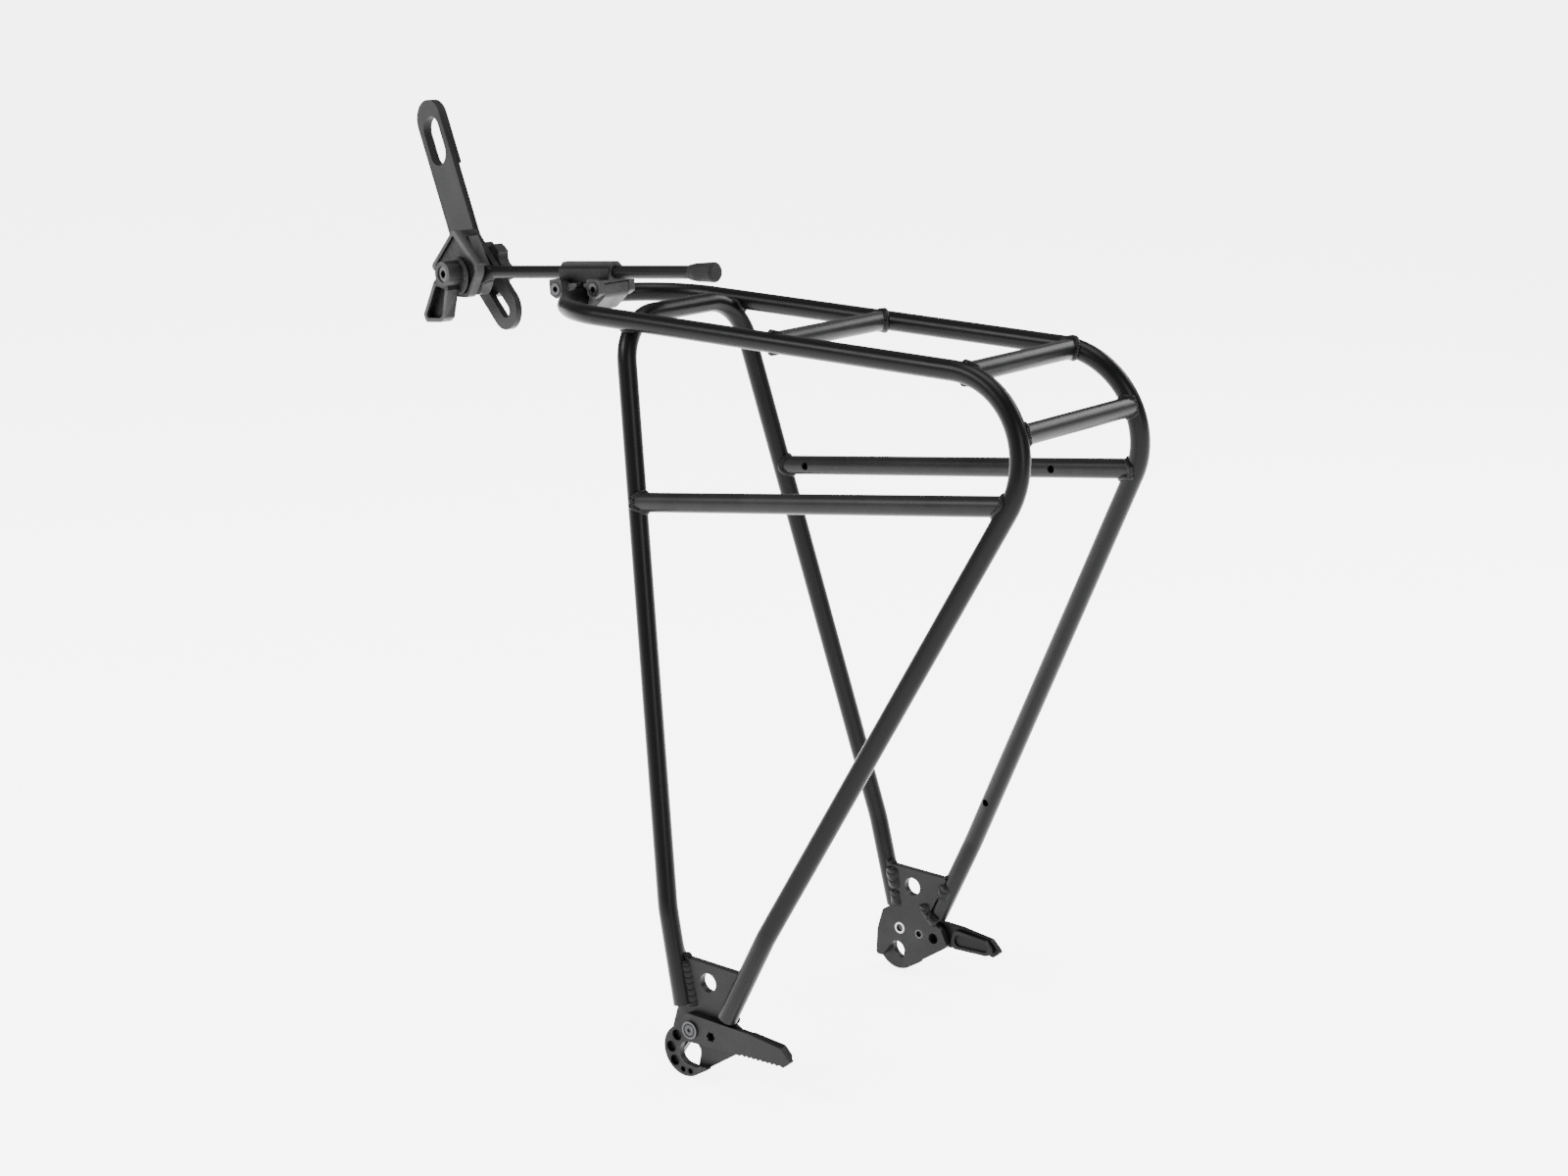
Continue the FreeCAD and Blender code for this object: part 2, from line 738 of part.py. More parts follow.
head_origin = rod_place.multVec(Vector(size("head_x"), 0, size("rod_rise")))
head_place = Placement(head_origin, Rotation(Vector(0, 0, 1), -size("head_yaw")))


def in_head(x, near, z, turn=Rotation()):
    return head_place.multiply(Placement(Vector(x, -near, z), turn))


TOWARD_LEFT = Rotation(Vector(1, 0, 0), 90)


def flare():
    """Transition from the round rod to its flattened tab: straight rulings between the two sections."""
    thick, tall = size("tab_half_thick"), size("tab_half_height")
    start = 14.0
    corners = [
        head_place.multVec(Vector(start, y, z))
        for y, z in ((-thick, -tall), (thick, -tall), (thick, tall), (-thick, tall))
    ]
    flat = Part.makePolygon(corners + corners[:1])
    arcs = []
    for number in range(4):
        spots = []
        for angle in (225 + 90 * number, 270 + 90 * number, 315 + 90 * number):
            turn = math.radians(angle)
            y, z = math.cos(turn), math.sin(turn)
            radius = size("rod_radius")
            spots.append(rod_place.multVec(Vector(size("rod_front"), radius * y, size("rod_rise") + radius * z)))
        arcs.append(Part.Arc(*spots).toShape())
    return Part.makeLoft([flat, Part.Wire(arcs)], True, True)


def make_rod():
    start = size("rod_front")
    bar = cylinder("rod_bar", "rod_radius", "rod_back - rod_front", in_rod(start, 0, size("rod_rise"), ALONG_X))
    body = new_body("rod_tab_body", head_place)
    tall = size("tab_half_height")
    tab = outline([arc_of(0, 0, tall, 90, 270), (14.0, -tall, 0), (14.0, tall, 0)])
    eye = circle(0, 0, size("bolt_radius") + size("bolt_clearance"))
    pad(body, tab + eye, "-tab_half_thick", "2 * tab_half_thick")
    subpart(fuse("stay_rod_solid", bar, solid("rod_flare", flare()), body), "stay_rod")


def make_end_cap():
    """Rubber cap pushed over the rod's rear end, wider toward a rounded end face."""
    body = new_body("rod_end_cap_body", rod_place)
    sketch = body.newObject("Sketcher::SketchObject", "rod_end_cap_sketch")
    plane = [one for one in body.Origin.OriginFeatures if one.Role == "XZ_Plane"][0]
    sketch.AttachmentSupport = (plane, [""])
    sketch.MapMode = "FlatFace"
    axis = size("rod_rise")
    rod = size("rod_radius")
    back = size("rod_back")
    sketch.addGeometry(outline([
        (back, axis, 0),
        (back, axis + rod, 0),
        (72.4, axis + rod, 0),
        (72.4, axis + 4.0, 0.3),
        (76.5, axis + 4.7, 0),
        (89.75, axis + 5.3, 1.4),
        (89.75, axis, 0),
    ]))
    sketch.addGeometry(Part.LineSegment(Vector(0, axis, 0), Vector(1, axis, 0)), True)
    turned = body.newObject("PartDesign::Revolution", "rod_end_cap_turned")
    turned.Profile = sketch
    turned.ReferenceAxis = (sketch, ["Axis0"])
    turned.Angle = 360.0
    doc.recompute()
    subpart(body, "rod_end_cap")


def make_head_plates():
    """Clamping plates on each side of the rod's tab; the outer one has a rimmed face and a top lip."""
    eye = circle(0, 0, size("bolt_radius") + size("bolt_clearance"))
    outer_edge = outline([
        (-4.4, 23.6, 2.5),
        (-26.2, 0.2, 2.0),
        (-2.0, -13.6, 10),
        (9.6, -12.6, 5),
        (18.4, 1.5, 6),
        (18.0, 6.6, 2),
    ])
    recess = outline([
        (-4.6, 20.0, 1.5),
        (-22.2, 0.9, 1.5),
        (-2.0, -11.2, 8),
        (8.4, -10.2, 3.5),
        (15.8, 1.6, 4.5),
        (15.4, 5.0, 1.5),
    ])
    lip = outline([(-7.3, 20.3, 0.6), (-0.6, 20.3, 0.6), (-3.2, 22.4, 1.0), (-5.6, 22.4, 1.0)])
    body = new_body("head_outer_plate_body", head_place)
    pad(body, outer_edge + eye, "tab_half_thick + 0.1", "outer_plate_thick")
    pad(body, lip, "-(tab_half_thick + 0.1 + inner_plate_thick)", "inner_plate_thick + 2 * tab_half_thick + 0.4")
    pocket(body, recess + circle(0, 0, 8.6), "tab_half_thick + 0.1 + outer_plate_thick", "1.2")
    subpart(body, "head_outer_plate")

    inner_edge = outline([
        (-4.4, 20.0, 2),
        (-22.4, 0.6, 2),
        (-2.0, -13.2, 9),
        (9.0, -11.8, 5),
        (14.6, -1.5, 6),
        (8.6, 5.6, 3),
        (-1.8, 19.6, 1.5),
    ])
    spacer = outline([(-4.4, 19.4, 1.5), (-12.0, 11.0, 1), (-9.0, 8.6, 1), (1.0, 8.6, 1), (2.6, 13.0, 1)])
    body = new_body("head_inner_plate_body", head_place)
    pad(body, inner_edge + eye, "-(tab_half_thick + 0.1 + inner_plate_thick)", "inner_plate_thick")
    pad(body, spacer, "-(tab_half_thick + 0.2)", "2 * tab_half_thick + 0.2")
    subpart(body, "head_inner_plate")


def make_wing_lever():
    """Clamping lever: round base, boss with a sunk seat for the bolt's head, channelled arm."""
    body = new_body("wing_lever_body", head_place)
    pad(body, circle(0.4, -2.0, 9.8), "6.6", "1.8")
    arm = outline([
        (-11.4, -5.8, 2),
        (-21.4, -25.4, 2),
        (-18.6, -29.2, 2.5),
        (-5.0, -27.4, 2.5),
        (-1.2, -24.9, 2),
        (2.6, -8.6, 2),
        (2.0, -1.0, 2),
        (-6.0, -1.0, 2),
    ])
    pad(body, arm, "8.0", "7.0")
    channel = outline([
        (-9.2, -7.6, 2),
        (-18.4, -25.0, 1.4),
        (-17.2, -26.6, 1.4),
        (-5.8, -25.2, 1.6),
        (-3.2, -23.8, 1.2),
        (-0.2, -8.4, 1.4),
    ])
    pad(body, circle(0, 0, size("boss_radius")), "6.6", "boss_top - 6.6")
    pocket(body, channel, "15.0", "4.2")
    pocket(body, circle(0, 0, 4.4), "boss_top", "3.6")
    pocket(body, circle(0, 0, size("bolt_radius") + size("bolt_clearance")), "boss_top", "boss_top")
    subpart(body, "wing_lever")


def make_bolt():
    """Bolt through the lever, both plates, the rod's tab, the bracket's slot and the thumb nut."""
    shank = cylinder("bolt_shank", "bolt_radius", "33.4", in_head(0, -19.8, 0, TOWARD_LEFT))
    head = cylinder("bolt_head", "4.2", "2.8", in_head(0, 13.5, 0, TOWARD_LEFT))
    drive = socket("bolt_drive", False, 2.4, 2.2, in_head(0, 14.3, 0, TOWARD_LEFT))
    subpart(cut("clamp_bolt_cut", fuse("bolt_blank", shank, head), drive), "clamp_bolt")


def bracket_point(along, across, heading):
    """Point at a distance along a heading in the head's side plane, and across it to its right."""
    turn = math.radians(heading)
    x = along * math.cos(turn) + across * math.sin(turn)
    z = along * math.sin(turn) - across * math.cos(turn)
    return (x, z)


LOWER_HEADING = -39.8
UPPER_HEADING = 117.7
UPPER_SHIFT = -7.0
LOWER_END = 28.8
UPPER_END = 91.9


def miter(lower_across, upper_across):
    """Where an edge of the lower leg meets an edge of the upper one."""
    ux, uz = bracket_point(0, upper_across, UPPER_HEADING)
    lx, lz = bracket_point(0, lower_across, LOWER_HEADING)
    up, low = math.radians(UPPER_HEADING), math.radians(LOWER_HEADING)
    cross = math.cos(up) * math.sin(low) - math.sin(up) * math.cos(low)
    reach = ((lx - ux) * math.sin(low) - (lz - uz) * math.cos(low)) / cross
    return (ux + reach * math.cos(up), uz + reach * math.sin(up))


def comb():
    """V grooves across the bracket's lower leg, one tooth pitch apart."""
    pitch, deep = size("tooth_pitch"), size("tooth_depth")
    start, count = -23.4, 32
    points = [Vector(start, -1, 0)]
    for number in range(count):
        points.append(Vector(start + number * pitch, -0.02, 0))
        points.append(Vector(start + (number + 0.5) * pitch, deep, 0))
    points.append(Vector(start + count * pitch, -0.02, 0))
    points.append(Vector(start + count * pitch, -1, 0))
    face = Part.Face(Part.makePolygon(points + points[:1]))
    reach = size("bracket_half") + 2
    bar = face.extrude(Vector(0, 0, 2 * reach))
    bar.translate(Vector(0, size("bracket_near"), -reach))
    made = solid("bracket_comb", bar)
    made.Placement = head_place.multiply(Placement(Vector(), Rotation(Vector(0, 1, 0), -LOWER_HEADING)))
    return made


def make_bracket():
    """Flat dogleg bar: serrated lower leg with the adjusting slot, wider slot near its rounded top."""
    half = size("bracket_half")
    low_end = bracket_point(LOWER_END, 0, LOWER_HEADING)
    centre = UPPER_SHIFT
    top_end = bracket_point(UPPER_END, centre, UPPER_HEADING)
    right = miter(-half, centre + half)
    left = miter(half, centre - half)
    edge = outline([
        arc_of(*low_end, half, LOWER_HEADING - 90, LOWER_HEADING + 90),
        (*right, 12),
        arc_of(*top_end, half, UPPER_HEADING - 90, UPPER_HEADING + 90),
        (*left, 12),
    ])
    slot_half = size("slot_half")
    slot = stadium(
        bracket_point(-12.0 + slot_half, 0, LOWER_HEADING),
        bracket_point(34.0 - slot_half, 0, LOWER_HEADING),
        slot_half,
    )
    wide = size("strap_slot_half")
    strap = stadium(
        bracket_point(65.5 + wide, centre, UPPER_HEADING),
        bracket_point(93.9 - wide, centre, UPPER_HEADING),
        wide,
    )
    body = new_body("seat_stay_bracket_body", head_place)
    pad(body, edge + slot + strap, "-(bracket_near + bracket_thick)", "bracket_thick")
    step = bracket_point(71.0 - 9.0, centre + half, UPPER_HEADING)
    other = bracket_point(71.0 - 9.0, centre - half, UPPER_HEADING)
    thick = outline([
        (*other, 1.0),
        (*step, 1.0),
        arc_of(*top_end, half, UPPER_HEADING - 90, UPPER_HEADING + 90),
    ])
    pad(body, thick + strap, "-(bracket_near + bracket_thick + bracket_pad)", "bracket_pad + 0.5")
    subpart(cut("bracket_cut", body, comb()), "seat_stay_bracket")


def make_thumb_nut():
    """Six-lobed knob nut and the washer under it."""
    near = -(size("bracket_near") + size("bracket_thick"))
    gap = 1.1
    disc = cylinder("knob_disc", "knob_radius", "knob_thick", in_head(0, near - gap - size("knob_thick"), 0, TOWARD_LEFT))
    bites = []
    for number in range(6):
        turn = math.radians(60 * number + 30)
        reach = size("knob_radius") + 3.4
        place = in_head(
            reach * math.cos(turn), near - gap - size("knob_thick") - 1, reach * math.sin(turn), TOWARD_LEFT
        )
        bites.append(cylinder(f"knob_bite_{number}", "6", "knob_thick + 2", place))
    hub = cylinder("knob_hub", "6.5", "1.2", in_head(0, near - gap - size("knob_thick") - 1.2, 0, TOWARD_LEFT))
    hole = cylinder("knob_hole", "bolt_radius + running_gap", "12", in_head(0, near - gap - 10, 0, TOWARD_LEFT))
    blank = fuse("knob_blank", cut("knob_lobes", disc, compound("knob_bites", *bites)), hub)
    subpart(cut("thumb_nut_cut", blank, hole), "thumb_nut")
    ring = cylinder("washer_ring", "7.0", "0.9", in_head(0, near - gap + 0.1, 0, TOWARD_LEFT))
    eye = cylinder("washer_hole", "bolt_radius + bolt_clearance", "2", in_head(0, near - gap - 0.5, 0, TOWARD_LEFT))
    subpart(cut("nut_washer_cut", ring, eye), "nut_washer")


make_loop_and_legs()
make_cross_tube("cross_tube_front", "cross_front_x", "deck_height")
make_cross_tube("cross_tube_middle", "cross_middle_x", "cross_middle_z")
make_cross_tube("cross_tube_tail", "cross_tail_x", "cross_tail_z")
for name, side in SIDES.items():
    make_lower_rail(f"lower_rail_{name}", side)
    make_plate(f"dropout_plate_{name}", side)
    make_lever(f"hook_lever_{name}", side)
    make_lever_hardware(name, side)
make_clamp_cap()
make_jaws()
make_clamp_screws()
make_rod()
make_end_cap()
make_head_plates()
make_wing_lever()
make_bolt()
make_bracket()
make_thumb_nut()
doc.recompute()

for made in doc.Objects:
    bad = {"Invalid", "Error"} & set(made.State)
    assert not bad, f"{made.Label}: {made.State}"
for made in subparts:
    shape = made.Shape
    assert not shape.isNull() and shape.isValid() and shape.Volume > 0, f"{made.Label} is not a valid solid"

os.makedirs("parts", exist_ok=True)
for made in subparts:
    made.Shape.exportStep(f"parts/{made.Label}.step")
    print(f"{made.Label}: {len(made.Shape.Solids)} solid(s), {made.Shape.Volume / 1000:.2f} cm3")
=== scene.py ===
import json
import math

import bmesh
import bpy
from mathutils import Matrix, Vector
from mathutils.bvhtree import BVHTree


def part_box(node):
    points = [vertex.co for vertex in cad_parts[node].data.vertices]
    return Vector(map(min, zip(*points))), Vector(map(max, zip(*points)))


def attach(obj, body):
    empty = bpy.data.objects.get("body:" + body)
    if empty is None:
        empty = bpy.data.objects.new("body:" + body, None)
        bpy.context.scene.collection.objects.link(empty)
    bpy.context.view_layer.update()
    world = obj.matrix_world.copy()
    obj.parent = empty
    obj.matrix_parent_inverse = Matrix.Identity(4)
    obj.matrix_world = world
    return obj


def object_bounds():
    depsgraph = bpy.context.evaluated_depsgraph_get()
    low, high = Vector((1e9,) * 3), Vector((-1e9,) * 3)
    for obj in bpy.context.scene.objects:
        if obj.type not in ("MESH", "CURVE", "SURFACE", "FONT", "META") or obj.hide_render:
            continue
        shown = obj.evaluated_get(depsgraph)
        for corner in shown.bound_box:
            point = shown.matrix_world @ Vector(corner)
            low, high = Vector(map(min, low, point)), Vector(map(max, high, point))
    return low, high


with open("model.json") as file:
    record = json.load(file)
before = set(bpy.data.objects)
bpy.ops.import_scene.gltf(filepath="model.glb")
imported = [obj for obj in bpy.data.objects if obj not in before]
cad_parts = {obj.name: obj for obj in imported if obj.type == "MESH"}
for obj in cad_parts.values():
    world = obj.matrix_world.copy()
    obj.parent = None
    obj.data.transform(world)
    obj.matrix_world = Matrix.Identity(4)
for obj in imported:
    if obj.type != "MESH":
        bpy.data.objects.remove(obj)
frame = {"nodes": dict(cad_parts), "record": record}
NODES = frame["nodes"]
cad_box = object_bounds()
MM = 0.001


# ---- camera ----------------------------------------------------------------------------------------

CAMERA_PLACE = Vector((0.8352, -1.1104, 0.5923))
CAMERA_AZIMUTH = math.radians(37.525)
CAMERA_ELEVATION = math.radians(14.855)
CAMERA_ROLL = math.radians(1.137)
CAMERA_LENS = 64.7


def make_camera():
    data = bpy.data.cameras.new("camera")
    data.lens = CAMERA_LENS
    data.sensor_width = 36.0
    data.clip_end = 200.0
    camera = bpy.data.objects.new("camera", data)
    bpy.context.collection.objects.link(camera)
    tilt = Matrix.Rotation(math.pi / 2 - CAMERA_ELEVATION, 4, "X")
    turn = Matrix.Rotation(CAMERA_AZIMUTH, 4, "Z")
    roll = Matrix.Rotation(CAMERA_ROLL, 4, "Z")
    camera.matrix_world = Matrix.Translation(CAMERA_PLACE) @ turn @ tilt @ roll
    bpy.context.scene.camera = camera


# ---- materials -------------------------------------------------------------------------------------

COATING_SPECULAR = 0.08
CASTING_SPECULAR = 0.10
RUBBER_SPECULAR = 0.14


class Nodes:
    """Short calls for building one material's node tree."""

    def __init__(self, name):
        self.material = bpy.data.materials.new(name)
        self.material.use_nodes = True
        self.tree = self.material.node_tree
        self.shader = self.tree.nodes["Principled BSDF"]
        self.place = self.tree.nodes.new("ShaderNodeTexCoord").outputs["Object"]

    def add(self, kind, inputs=None, **settings):
        node = self.tree.nodes.new(kind)
        for key, value in settings.items():
            setattr(node, key, value)
        for key, value in (inputs or {}).items():
            if isinstance(value, bpy.types.NodeSocket):
                self.tree.links.new(value, node.inputs[key])
            else:
                node.inputs[key].default_value = value
        return node

    def noise(self, scale, detail=3.0, rough=0.55):
        node = self.add("ShaderNodeTexNoise", {"Vector": self.place, "Scale": scale, "Detail": detail})
        node.inputs["Roughness"].default_value = rough
        return node.outputs["Fac"]

    def ramp(self, source, stops):
        """Colour ramp through (position, colour or grey) stops."""
        node = self.add("ShaderNodeValToRGB", {"Fac": source})
        ramp = node.color_ramp
        while len(ramp.elements) < len(stops):
            ramp.elements.new(0.5)
        for element, (at, value) in zip(ramp.elements, stops):
            element.position = at
            colour = value if isinstance(value, tuple) else (value, value, value)
            element.color = (*colour, 1.0)
        return node.outputs["Color"]

    def mix(self, share, first, second):
        node = self.add("ShaderNodeMix", {"Factor": share}, data_type="RGBA")
        for socket, value in ((node.inputs[6], first), (node.inputs[7], second)):
            if isinstance(value, bpy.types.NodeSocket):
                self.tree.links.new(value, socket)
            else:
                socket.default_value = (*value, 1.0)
        return node.outputs[2]

    def bump(self, height, strength, distance, under=None):
        node = self.add("ShaderNodeBump", {"Height": height, "Strength": strength, "Distance": distance})
        if under:
            self.tree.links.new(under, node.inputs["Normal"])
        return node.outputs["Normal"]

    def set(self, **inputs):
        for key, value in inputs.items():
            socket = self.shader.inputs[key.replace("_", " ")]
            if isinstance(value, bpy.types.NodeSocket):
                self.tree.links.new(value, socket)
            else:
                socket.default_value = value
        return self.material


def edge_share(nodes, low, high):
    """How near a point is to a convex edge, gently uneven along its length."""
    point = nodes.add("ShaderNodeNewGeometry").outputs["Pointiness"]
    edge = nodes.ramp(point, [(low, 0.0), (high, 1.0)])
    patches = nodes.ramp(nodes.noise(60.0), [(0.25, 0.55), (0.75, 1.0)])
    both = nodes.add("ShaderNodeMix", {"Factor": 1.0}, data_type="RGBA", blend_type="MULTIPLY")
    nodes.tree.links.new(edge, both.inputs[6])
    nodes.tree.links.new(patches, both.inputs[7])
    return both.outputs[2]


def coated(name, base, worn, rough, peel):
    """Black satin coating on metal: fine orange peel, faintly cloudy gloss, paler edges."""
    nodes = Nodes(name)
    cloud = nodes.noise(22.0, 4.0)
    tone = nodes.ramp(cloud, [(0.3, base), (0.75, tuple(1.2 * part for part in base))])
    colour = nodes.mix(edge_share(nodes, 0.54, 0.66), tone, worn)
    gloss = nodes.ramp(nodes.noise(45.0, 5.0), [(0.3, rough - 0.02), (0.7, rough + 0.03)])
    fine = nodes.bump(nodes.noise(2600.0, 2.0), 0.16 * peel, 0.00010)
    wavy = nodes.bump(nodes.noise(620.0, 2.0), 0.12 * peel, 0.00018, fine)
    return nodes.set(
        Base_Color=colour, Roughness=gloss, Normal=wavy, Metallic=0.0, Specular_IOR_Level=COATING_SPECULAR,
    )


def cast(name):
    """Coated casting: grainy blasted skin, slightly brighter on its edges."""
    nodes = Nodes(name)
    tone = nodes.ramp(nodes.noise(120.0, 5.0), [(0.3, 0.0015), (0.75, 0.004)])
    colour = nodes.mix(edge_share(nodes, 0.52, 0.60), tone, (0.03, 0.03, 0.031))
    gloss = nodes.ramp(nodes.noise(160.0, 5.0), [(0.3, 0.40), (0.7, 0.55)])
    grain = nodes.bump(nodes.noise(1500.0, 4.0), 0.45, 0.00022)
    pits = nodes.bump(nodes.noise(430.0, 3.0), 0.25, 0.0004, grain)
    return nodes.set(Base_Color=colour, Roughness=gloss, Normal=pits, Metallic=0.0,
                     Specular_IOR_Level=CASTING_SPECULAR)


def steel(name, dark, bright, rough, metal=1.0):
    """Turned or oxidised steel with fine machining streaks and cloudy tone."""
    nodes = Nodes(name)
    tone = nodes.ramp(nodes.noise(300.0, 4.0), [(0.3, dark), (0.7, bright)])
    edge = tuple(min(1.0, 2.2 * part + 0.02) for part in bright)
    colour = nodes.mix(edge_share(nodes, 0.52, 0.60), tone, edge)
    gloss = nodes.ramp(nodes.noise(500.0, 5.0), [(0.3, rough - 0.06), (0.7, rough + 0.10)])
    streaks = nodes.bump(nodes.noise(3000.0, 2.0), 0.18, 0.0001)
    return nodes.set(Base_Color=colour, Roughness=gloss, Normal=streaks, Metallic=metal)


def rubber(name, rough):
    """Matt rubber or textured plastic with a soft sheen and a fine moulded grain."""
    nodes = Nodes(name)
    colour = nodes.ramp(nodes.noise(140.0, 4.0), [(0.3, 0.0020), (0.8, 0.0045)])
    gloss = nodes.ramp(nodes.noise(200.0, 4.0), [(0.3, rough - 0.06), (0.7, rough + 0.08)])
    grain = nodes.bump(nodes.noise(2600.0, 3.0), 0.35, 0.00015)
    return nodes.set(
        Base_Color=colour, Roughness=gloss, Normal=grain, Metallic=0.0, Specular_IOR_Level=RUBBER_SPECULAR,
        Sheen_Weight=0.02, Sheen_Roughness=0.5,
    )


def make_materials():
    black = (0.0012, 0.0012, 0.0013)
    grey = (0.012, 0.012, 0.0125)
    return {
        "frame_paint": coated("frame_paint", black, grey, 0.34, 0.7),
        "plate_paint": coated("plate_paint", black, grey, 0.40, 1.0),
        "hook_paint": coated("hook_paint", (0.0014, 0.0014, 0.0015), grey, 0.44, 1.3),
        "cast_paint": cast("cast_paint"),
        "bare_steel": steel("bare_steel", (0.07, 0.07, 0.069), (0.13, 0.13, 0.129), 0.28),
        "black_steel": steel("black_steel", (0.004, 0.004, 0.0045), (0.012, 0.012, 0.013), 0.34, 0.85),
        "cap_rubber": rubber("cap_rubber", 0.62),
        "knob_plastic": rubber("knob_plastic", 0.48),
        "weld": coated("weld", (0.0022, 0.0022, 0.0024), (0.018, 0.018, 0.019), 0.36, 0.8),
    }


def dress_nodes(materials):
    """Every CAD node takes its slot's material and, where it has machined edges, a small bevel."""
    slots = {entry["node"]: entry["material_slot"] for entry in frame["record"]["subparts"]}
    for name, piece in NODES.items():
        for number in range(max(1, len(piece.material_slots))):
            if not piece.material_slots:
                piece.data.materials.append(materials[slots[name]])
            piece.material_slots[number].material = materials[slots[name]]
        if slots[name] in ("plate_paint", "hook_paint", "cast_paint", "knob_plastic"):
            soften(piece, 0.35 * MM)


def soften(piece, width):
    bevel = piece.modifiers.new("edge", "BEVEL")
    bevel.width = width
    bevel.segments = 2
    bevel.limit_method = "ANGLE"
    bevel.angle_limit = math.radians(35)
    bevel.harden_normals = True
    bevel.miter_outer = "MITER_ARC"


# ---- weld beads ------------------------------------------------------------------------------------

CONTACT_GAP = 0.35 * MM
RING_BEAD_STEP = 0.28 * MM
RING_BEAD_SIDES = 14
RING_RIPPLE = 1.15 * MM
FLAT_BEAD_STEP = 0.22 * MM
FLAT_BEAD_COLUMNS = 18
FLAT_BEAD_SINK = 0.35 * MM


def surface(name):
    """Search tree over a CAD node's mesh."""
    mesh = bmesh.new()
    mesh.from_mesh(NODES[name].data)
    tree = BVHTree.FromBMesh(mesh)
    mesh.free()
    return tree


TREES = {}


def contact_points(branch, main, near, reach):
    """Vertices of one node that lie on another node's surface, within reach of a point."""
    if main not in TREES:
        TREES[main] = surface(main)
    found = []
    for vertex in NODES[branch].data.vertices:
        if (vertex.co - near).length > reach:
            continue
        hit = TREES[main].find_nearest(vertex.co, CONTACT_GAP)
        if hit[0] is not None:
            found.append(vertex.co.copy())
    return found


def rim(points, axis):
    """Outermost points in order of their angle about an axis through their middle."""
    middle = sum(points, Vector()) / len(points)
    across = axis.orthogonal().normalized()
    other = axis.cross(across).normalized()
    sectors = {}
    for point in points:
        turn = math.atan2((point - middle).dot(other), (point - middle).dot(across))
        reach = ((point - middle) - axis * (point - middle).dot(axis)).length
        key = round(turn / math.radians(9))
        if key not in sectors or reach > sectors[key][0]:
            sectors[key] = (reach, turn, point)
    kept = sorted(sectors.values(), key=lambda entry: entry[1])
    return [entry[2] for entry in kept]


def even(points, spacing, closed):
    """The same line with its points a fixed distance apart, its corners eased."""
    line = points + points[:1] if closed else points
    lengths = [0.0]
    for first, second in zip(line, line[1:]):
        lengths.append(lengths[-1] + (second - first).length)
    count = max(8, int(lengths[-1] / spacing))
    out, at = [], 0
    for number in range(count if closed else count + 1):
        target = lengths[-1] * number / count
        while at < len(line) - 2 and lengths[at + 1] < target:
            at += 1
        share = (target - lengths[at]) / max(1e-9, lengths[at + 1] - lengths[at])
        out.append(line[at].lerp(line[at + 1], min(1.0, max(0.0, share))))
    for _ in range(4):
        eased = list(out)
        span = range(count) if closed else range(1, count)
        for number in span:
            before, after = out[number - 1], out[(number + 1) % len(out)]
            eased[number] = out[number] * 0.5 + (before + after) * 0.25
        out = eased
    return out


def add_bead(name, mesh):
    """Weld mesh as a piece of the frame; its four-sided faces are shaded smooth."""
    bmesh.ops.recalc_face_normals(mesh, faces=mesh.faces)
    data = bpy.data.meshes.new(name)
    mesh.to_mesh(data)
    mesh.free()
    for face in data.polygons:
        face.use_smooth = len(face.vertices) == 4
    piece = bpy.data.objects.new(name, data)
    bpy.context.collection.objects.link(piece)
    data.materials.append(MATERIALS["weld"])
    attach(piece, "frame")


def ring_bead(name, points, radius, seed):
    """Bead all round a joint: overlapping scale-like ripples, uneven in width."""
    path = even(points, RING_BEAD_STEP, True)
    mesh = bmesh.new()
    rings = []
    count = len(path)
    travelled = 0.0
    for number, point in enumerate(path):
        following = path[(number + 1) % count]
        ahead = (following - path[number - 1]).normalized()
        phase = (travelled / RING_RIPPLE) % 1.0
        scale = 0.80 + 0.24 * math.sqrt(max(0.0, 1.0 - (2.0 * phase - 1.0) ** 2))
        slow = 0.07 * math.sin(travelled / (4.3 * MM) + seed)
        quick = 0.04 * math.sin(travelled / (1.9 * MM) + 2 * seed)
        wander = 1.0 + slow + quick
        across = ahead.orthogonal().normalized()
        other = ahead.cross(across)
        ring = []
        for step in range(RING_BEAD_SIDES):
            turn = 2 * math.pi * step / RING_BEAD_SIDES
            offset = across * math.cos(turn) + other * math.sin(turn)
            ring.append(mesh.verts.new(point + offset * radius * scale * wander))
        rings.append(ring)
        travelled += (following - point).length
    join_rings(mesh, rings)
    add_bead(name, mesh)


def join_rings(mesh, rings):
    """Faces between the rings of a closed chain, each ring turned to its best match with the one before."""
    around = len(rings[0])
    shift = 0
    for first, second in zip(rings, rings[1:] + rings[:1]):
        best = min(
            range(around),
            key=lambda turn: (first[shift % around].co - second[turn].co).length,
        )
        for step in range(around):
            a = first[(shift + step) % around]
            b = first[(shift + step + 1) % around]
            c = second[(best + step + 1) % around]
            d = second[(best + step) % around]
            mesh.faces.new((a, b, c, d))
        shift = best


def weld(name, branch, main, near, reach, radius, axis, seed):
    """Bead round the place where one node meets another."""
    points = contact_points(branch, main, near, reach)
    ring_bead(name, rim(points, axis.normalized()), radius, seed)


def middle_of(name):
    low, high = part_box(name)
    return (Vector(low) + Vector(high)) / 2


def end_of(name, axis, sign):
    """Middle of a node's end face along an axis of the frame."""
    low, high = Vector(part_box(name)[0]), Vector(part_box(name)[1])
    point = (low + high) / 2
    point[axis] = (high if sign > 0 else low)[axis]
    return point


